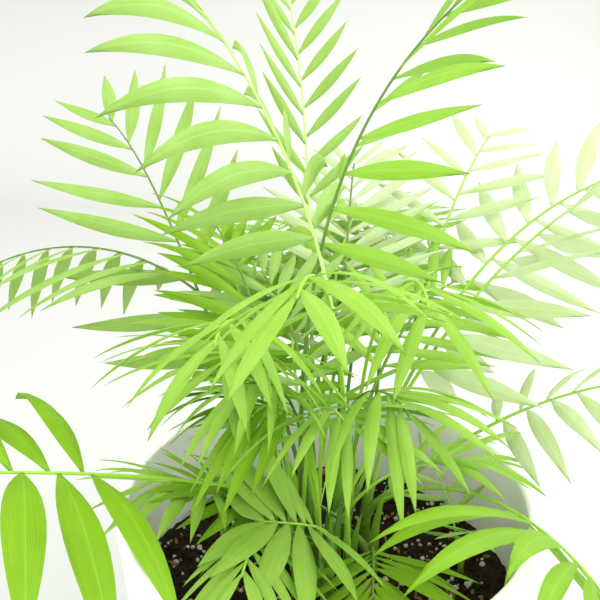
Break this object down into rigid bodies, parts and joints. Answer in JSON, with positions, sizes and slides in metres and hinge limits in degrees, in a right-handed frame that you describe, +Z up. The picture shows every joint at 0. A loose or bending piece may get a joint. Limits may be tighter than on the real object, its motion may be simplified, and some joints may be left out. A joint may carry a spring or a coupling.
{
  "type": "potted parlour palm",
  "caption": "Bushy indoor palm with arching feathered fronds on short canes, standing in a round glazed pot of potting mix.",
  "frame": {"origin": "middle of the pot's flat underside, where the pot stands on a table or floor", "axes": "+Z up; -Y towards the viewer's side of the plant, where the fronds leave the rim open; +X to the right of that side"},
  "size_m": [0.6559, 0.6142, 0.6296],
  "materials": {
    "pot": "smooth white glaze, glossy",
    "soil": "dark crumbly potting mix with pale grains and bark",
    "cane": "matt green, ringed",
    "frond": "satin green leaf"
  },
  "bodies": {
    "root": {"cane_back": "cane", "cane_centre": "cane", "cane_far_left": "cane", "cane_far_right": "cane", "cane_front": "cane", "cane_left": "cane", "cane_left_back": "cane", "cane_middle": "cane", "cane_near": "cane", "cane_right": "cane", "cane_right_back": "cane", "cane_seedling": "cane", "frond_centre_left": "frond", "frond_centre_right": "frond", "frond_hanging_1": "frond", "frond_hanging_2": "frond", "frond_hanging_3": "frond", "frond_hanging_4": "frond", "frond_hanging_5": "frond", "frond_inner_1": "frond", "frond_inner_2": "frond", "frond_inner_3": "frond", "frond_inner_4": "frond", "frond_inner_5": "frond", "frond_inner_6": "frond", "frond_inner_7": "frond", "frond_left_arching": "frond", "frond_left_back": "frond", "frond_low_left": "frond", "frond_low_middle": "frond", "frond_low_right": "frond", "frond_near_middle": "frond", "frond_outer_1": "frond", "frond_outer_2": "frond", "frond_outer_3": "frond", "frond_outer_4": "frond", "frond_outer_5": "frond", "frond_outer_6": "frond", "frond_outer_7": "frond", "frond_right_back": "frond", "frond_right_low": "frond", "frond_right_middle": "frond", "frond_right_upper": "frond", "frond_seedling_1": "frond", "frond_seedling_2": "frond", "frond_short_1": "frond", "frond_short_2": "frond", "frond_short_3": "frond", "frond_short_4": "frond", "frond_short_5": "frond", "frond_short_6": "frond", "frond_tall_back": "frond", "frond_tall_left": "frond", "frond_tall_right": "frond", "pot": "pot", "soil": "soil"}
  },
  "joints": []
}
